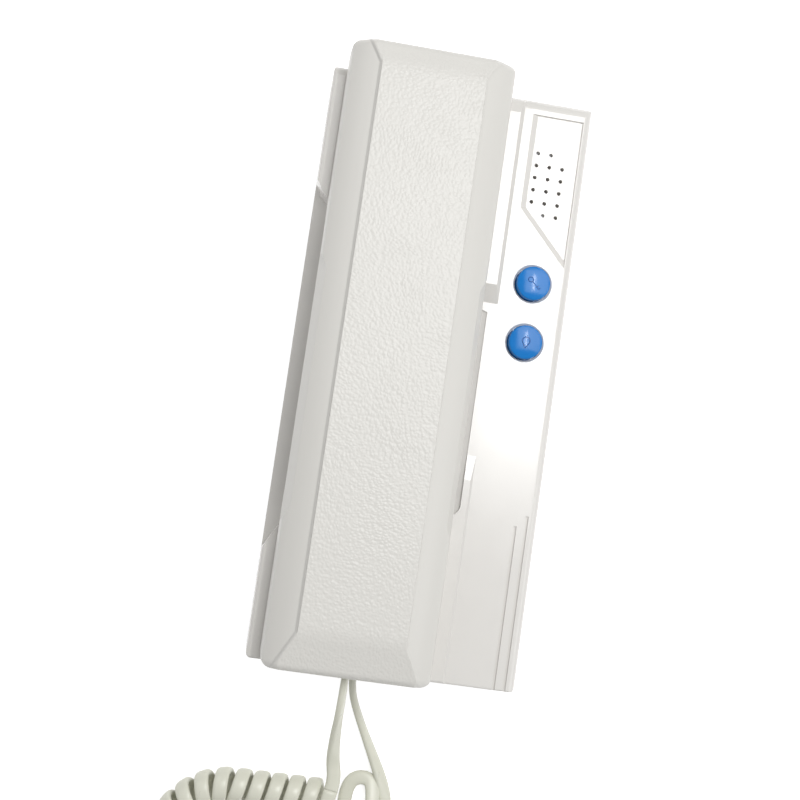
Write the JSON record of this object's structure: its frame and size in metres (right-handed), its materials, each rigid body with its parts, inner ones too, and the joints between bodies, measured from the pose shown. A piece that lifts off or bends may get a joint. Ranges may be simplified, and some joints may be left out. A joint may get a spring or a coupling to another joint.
{
  "type": "corded building intercom handset",
  "caption": "Wall-mounted building intercom: flat base with press buttons and a speaker grille, and a corded handset lying in its cradle.",
  "frame": {"origin": "middle of the base's rear face, which lies against the wall", "axes": "+Z out of the face, +Y up the unit towards the earpiece end, +X to the right as the face is looked at"},
  "size_m": [0.1244, 0.3244, 0.045],
  "materials": {
    "base_shell": "glossy white",
    "wall_plate": "satin white",
    "handset_shell": "satin white, leather-grained front",
    "button": "glossy blue",
    "cord": "soft matte off-white",
    "grommet": "matte off-white",
    "board": "green solder mask",
    "steel": "zinc-plated",
    "spring_steel": "bright wire",
    "terminal": "blue-grey",
    "black_plastic": "matte black",
    "connector": "natural nylon",
    "can": "sleeved can",
    "speaker_metal": "plated",
    "paper": "pressed paper",
    "membrane": "thin film",
    "foam": "soft foam",
    "rubber_boot": "matte black rubber",
    "lever": "natural acetal",
    "ballast": "dull steel"
  },
  "bodies": {
    "base": {"back_plate": "wall_plate", "front_cover": "base_shell", "cover_screws": "steel", "circuit_board": "board", "board_screws": "steel", "terminal_block": "terminal", "terminal_screws": "steel", "capacitors": "can", "control_chip": "black_plastic", "cord_connector": "connector", "button_switches": "black_plastic", "call_speaker": "speaker_metal", "call_speaker_cone": "paper", "speaker_clamp": "steel", "speaker_clamp_screws": "steel", "hook_bracket": "steel", "hook_pin": "steel", "hook_spring": "spring_steel", "hook_switch": "black_plastic", "unlock_spring": "spring_steel", "call_spring": "spring_steel", "base_cord_grommet": "grommet", "base_lead": "cord", "curly_cord": "cord", "handset_lead": "cord"},
    "unlock_button": {"unlock_button": "button"},
    "call_button": {"call_button": "button"},
    "hook_lever": {"hook_lever": "lever"},
    "handset": {"handset_front_shell": "handset_shell", "handset_back_shell": "handset_shell", "handset_screws": "steel", "earpiece_gasket": "foam", "earpiece_speaker": "speaker_metal", "earpiece_diaphragm": "membrane", "microphone_boot": "rubber_boot", "microphone": "speaker_metal", "ballast_weight": "ballast", "handset_cord_grommet": "grommet"}
  },
  "joints": [
    {"name": "handset_lift", "type": "slide", "parent": "base", "child": "handset", "axis": [0, 0, 1], "range_m": [0, 0.08]},
    {"name": "hook_lever_rise", "type": "hinge", "parent": "base", "child": "hook_lever", "pos_m": [0.0065, 0.045, 0.014], "axis": [1, 0, 0], "range_deg": [0, 10], "stiffness_Nm_per_rad": 0.0001, "springref_deg": 21.77},
    {"name": "unlock_button_press", "type": "slide", "parent": "base", "child": "unlock_button", "axis": [0, 0, -1], "range_m": [0, 0.002], "stiffness_N_per_m": 400, "springref_m": -0.002, "deforming": ["unlock_spring"]},
    {"name": "call_button_press", "type": "slide", "parent": "base", "child": "call_button", "axis": [0, 0, -1], "range_m": [0, 0.002], "stiffness_N_per_m": 400, "springref_m": -0.002, "deforming": ["call_spring"]}
  ],
  "couplings": [
    {"joint": "hook_lever_rise", "follows": "handset_lift", "rad_per_m": 2.1817}
  ]
}
